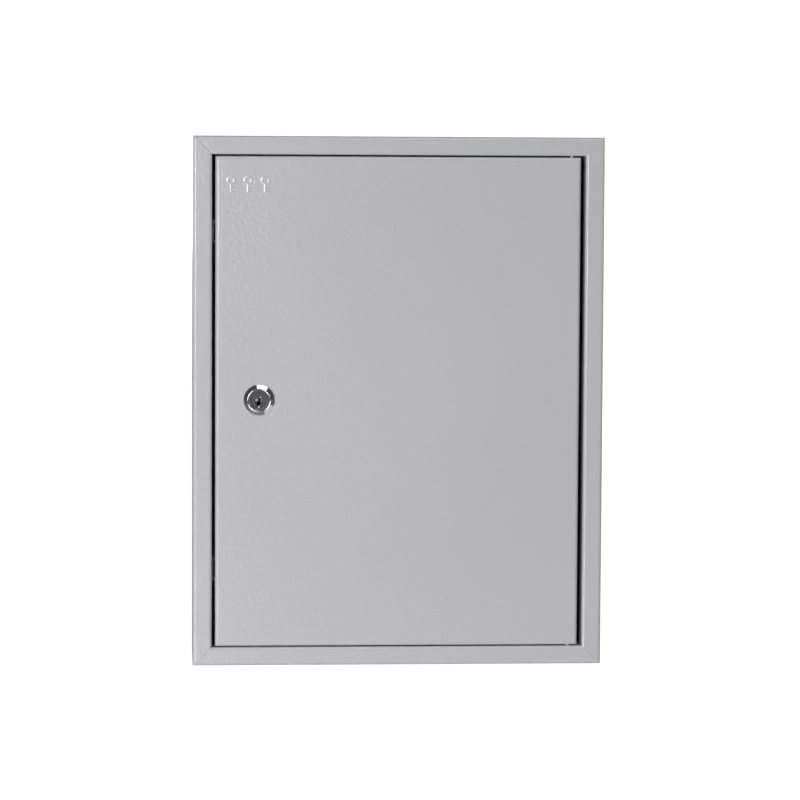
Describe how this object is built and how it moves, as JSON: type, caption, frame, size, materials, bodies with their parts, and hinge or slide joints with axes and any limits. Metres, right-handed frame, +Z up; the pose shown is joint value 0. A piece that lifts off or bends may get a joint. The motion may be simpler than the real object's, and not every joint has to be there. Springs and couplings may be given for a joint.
{
  "type": "key cabinet",
  "caption": "Wall-mounted sheet steel key cabinet with an inset hinged door, a quarter-turn cam lock and numbered rows of wire key hooks.",
  "frame": {"origin": "centre of the four wall fixing holes, on the back panel's wall face", "axes": "+X to the right as seen from the front, +Y out of the back into the wall, +Z up; the door faces -Y"},
  "size_m": [0.291, 0.0828, 0.375],
  "materials": {
    "powder_coat": "light grey fine-textured satin powder coat",
    "zinc_plate": "bright zinc plate",
    "strip_plastic": "white printed plastic film",
    "pad_rubber": "matt black rubber",
    "lock_chrome": "polished chrome plate",
    "die_cast_zinc": "as-cast zinc alloy, nickel plated",
    "plug_nickel": "satin nickel plate",
    "wafer_nickel": "stamped nickel silver",
    "spring_steel": "drawn wire"
  },
  "bodies": {
    "cabinet": {"left_side": "powder_coat", "right_side": "powder_coat", "top_side": "powder_coat", "bottom_side": "powder_coat", "back_panel": "powder_coat", "left_upright": "powder_coat", "right_upright": "powder_coat", "hook_rail_1": "powder_coat", "hook_rail_2": "powder_coat", "hook_rail_3": "powder_coat", "hook_rail_4": "powder_coat", "hook_rail_5": "powder_coat", "key_hooks_1": "zinc_plate", "key_hooks_2": "zinc_plate", "key_hooks_3": "zinc_plate", "key_hooks_4": "zinc_plate", "key_hooks_5": "zinc_plate", "number_strip_1": "strip_plastic", "number_strip_2": "strip_plastic", "number_strip_3": "strip_plastic", "number_strip_4": "strip_plastic", "number_strip_5": "strip_plastic", "door_stop_upper": "powder_coat", "door_stop_lower": "powder_coat", "stop_pad_upper": "pad_rubber", "stop_pad_lower": "pad_rubber", "hinge_pin_upper": "zinc_plate", "hinge_pin_lower": "zinc_plate"},
    "door": {"door_panel": "powder_coat", "pivot_plate_upper": "powder_coat", "pivot_plate_lower": "powder_coat", "lock_bezel": "lock_chrome", "lock_housing": "die_cast_zinc", "lock_washer": "zinc_plate", "lock_nut": "zinc_plate"},
    "lock_cylinder": {"lock_plug": "plug_nickel", "lock_wafers": "wafer_nickel", "wafer_springs": "spring_steel", "stop_washer": "zinc_plate", "lock_cam": "zinc_plate", "cam_washer": "zinc_plate", "cam_screw": "zinc_plate"}
  },
  "joints": [
    {"name": "door_swing", "type": "hinge", "parent": "cabinet", "child": "door", "pos_m": [0.1223, -0.075, -0.00015], "axis": [0, 0, 1], "range_deg": [0, 115]},
    {"name": "lock_turn", "type": "hinge", "parent": "door", "child": "lock_cylinder", "pos_m": [-0.0987, -0.07, 0.00155], "axis": [0, 1, 0], "range_deg": [-11, 79]}
  ]
}
